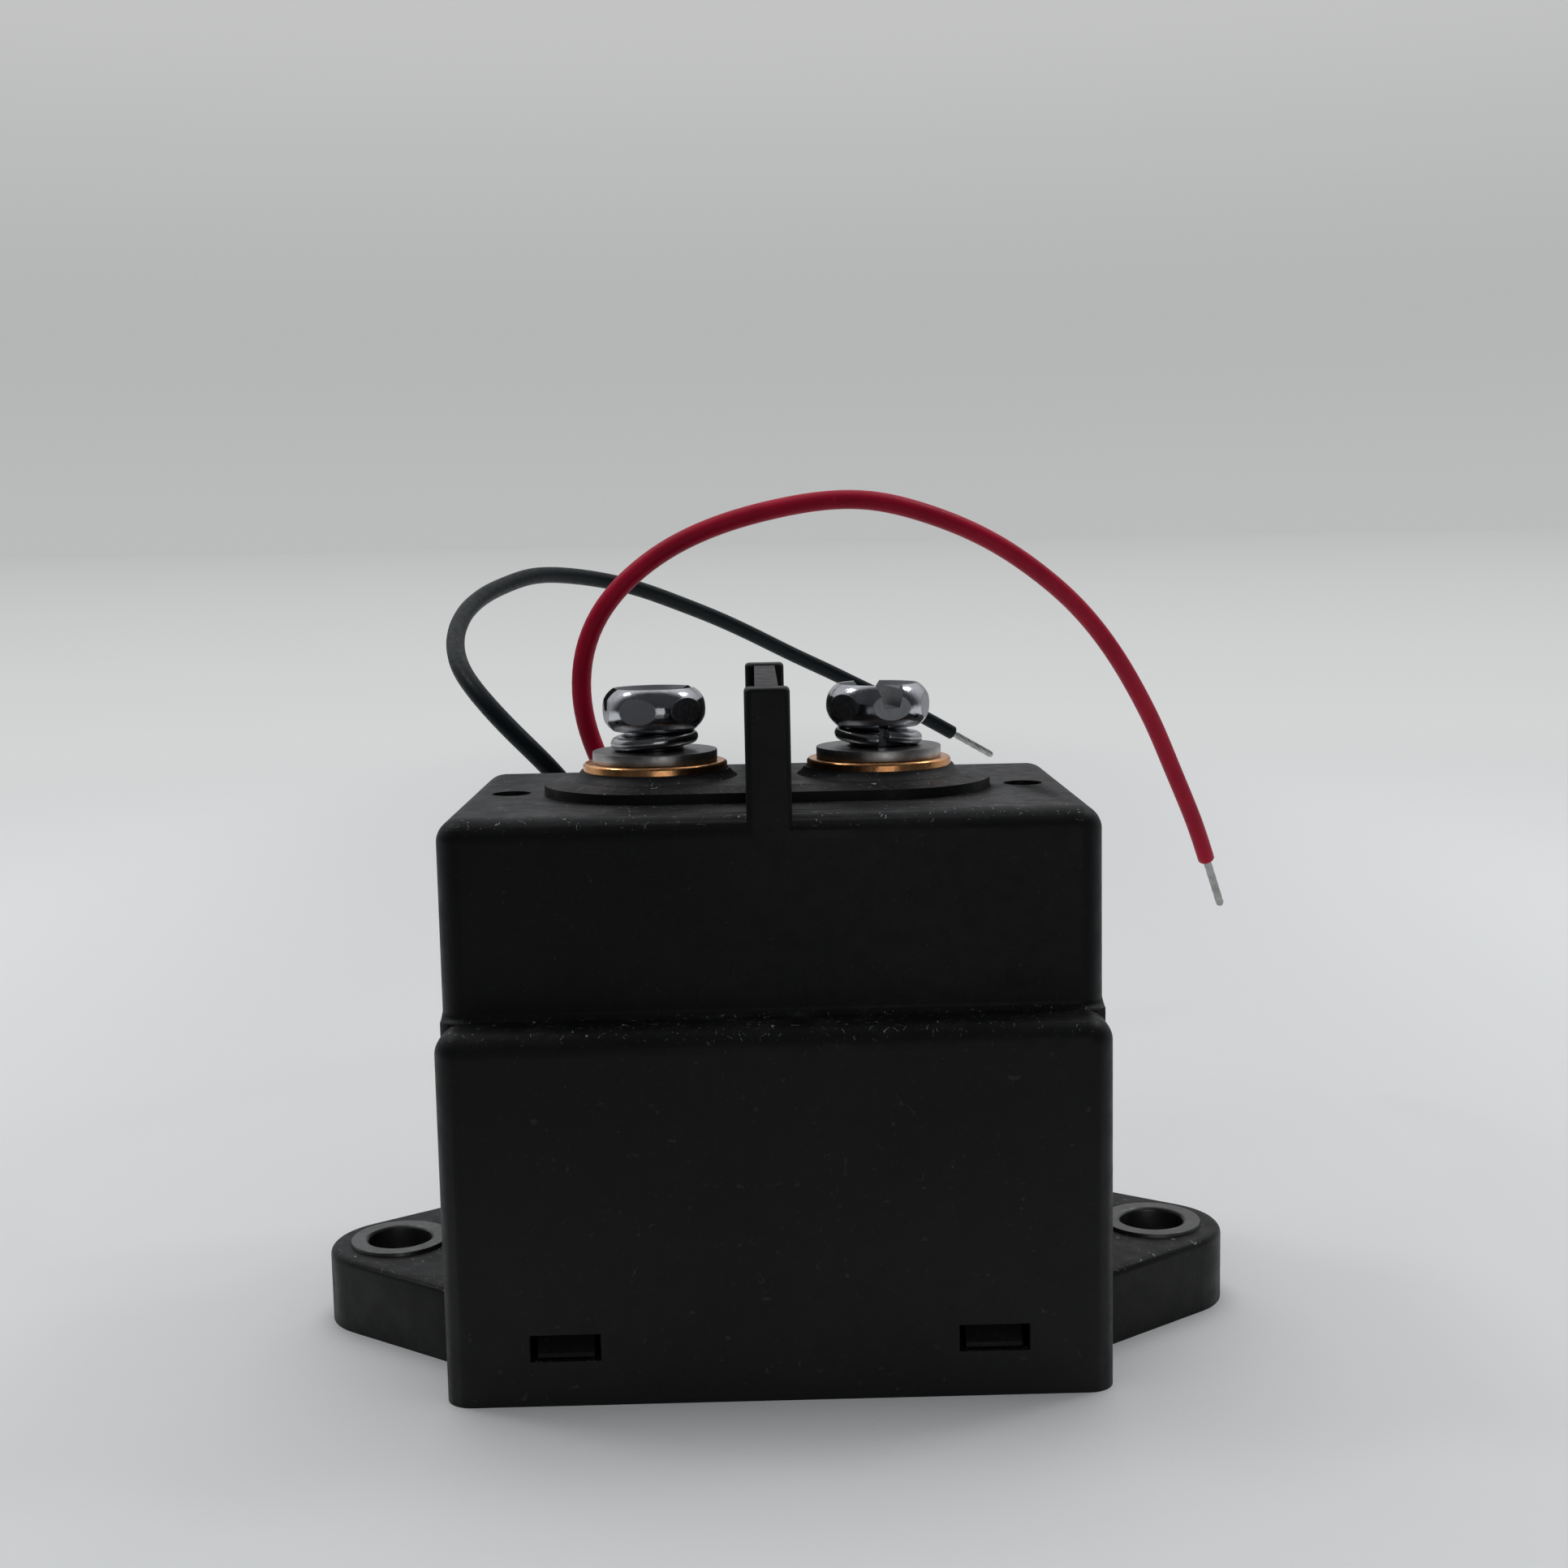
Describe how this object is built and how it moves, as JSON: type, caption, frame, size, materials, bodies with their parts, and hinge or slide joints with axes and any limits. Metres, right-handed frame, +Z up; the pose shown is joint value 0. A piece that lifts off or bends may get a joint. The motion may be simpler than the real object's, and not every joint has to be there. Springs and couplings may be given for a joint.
{
  "type": "dc relay",
  "caption": "Sealed DC relay in a stepped black housing with mounting ears, bolted copper terminals parted by a barrier, and flying coil leads.",
  "frame": {"origin": "centre of the base, on the surface that the relay stands on", "axes": "+X to the right from one mounting ear to the other, +Y from the front face to the face with the leads, +Z up towards the terminals"},
  "size_m": [0.1124, 0.1583, 0.0861],
  "materials": {
    "black_housing": "satin",
    "black_cover": "satin",
    "plated_steel": "satin",
    "bright_steel": "polished",
    "copper": "satin",
    "silver_alloy": "satin",
    "ceramic": "satin",
    "soft_iron": "matte",
    "magnet": "matte",
    "insulating_plastic": "satin",
    "winding": "gloss",
    "tape": "satin",
    "black_rubber": "matte",
    "pale_rubber": "matte",
    "spring_steel": "satin",
    "red_insulation": "satin",
    "black_insulation": "satin",
    "tinned_wire": "satin"
  },
  "bodies": {
    "case": {"housing": "black_housing", "base_cover": "black_cover", "mounting_bushes": "plated_steel", "top_gasket": "pale_rubber", "left_terminal": "copper", "right_terminal": "copper", "flat_washers": "plated_steel", "spring_washers": "spring_steel", "fixed_contact_tips": "silver_alloy", "ceramic_chamber": "ceramic", "chamber_skirt": "plated_steel", "chamber_floor": "insulating_plastic", "front_magnet": "magnet", "rear_magnet": "magnet", "magnet_strap": "soft_iron", "return_spring": "spring_steel", "fixed_core": "soft_iron", "pole_plate": "soft_iron", "guide_cup": "plated_steel", "stop_pad": "black_rubber", "iron_frame": "soft_iron", "damping_pad": "black_rubber", "bobbin": "insulating_plastic", "coil_winding": "winding", "coil_tape": "tape", "coil_pins": "tinned_wire", "lead_grommet": "black_rubber", "red_inner_lead": "red_insulation", "black_inner_lead": "black_insulation", "red_lead": "red_insulation", "black_lead": "black_insulation", "red_lead_end": "tinned_wire", "black_lead_end": "tinned_wire"},
    "armature": {"shaft": "bright_steel", "shaft_clip": "spring_steel", "spring_collar": "insulating_plastic", "plunger": "soft_iron", "contact_spring": "spring_steel"},
    "bridge": {"contact_bridge": "copper", "moving_contact_tips": "silver_alloy"},
    "left_bolt": {"left_terminal_bolt": "bright_steel"},
    "right_bolt": {"right_terminal_bolt": "bright_steel"}
  },
  "joints": [
    {"name": "armature_slide", "type": "slide", "parent": "case", "child": "armature", "axis": [0, 0, 1], "range_m": [0, 0.0026], "stiffness_N_per_m": 800, "springref_m": -0.004, "deforming": ["return_spring"]},
    {"name": "bridge_slide", "type": "slide", "parent": "armature", "child": "bridge", "axis": [0, 0, 1], "range_m": [-0.00081, 0], "deforming": ["contact_spring"]},
    {"name": "left_bolt_turn", "type": "hinge", "parent": "case", "child": "left_bolt", "pos_m": [-0.0115, 0, 0.0614], "axis": [0, 0, 1], "continuous": true},
    {"name": "right_bolt_turn", "type": "hinge", "parent": "case", "child": "right_bolt", "pos_m": [0.0115, 0, 0.0614], "axis": [0, 0, 1], "continuous": true}
  ],
  "couplings": [
    {"joint": "bridge_slide", "follows": "armature_slide", "ratio": -0.31}
  ]
}
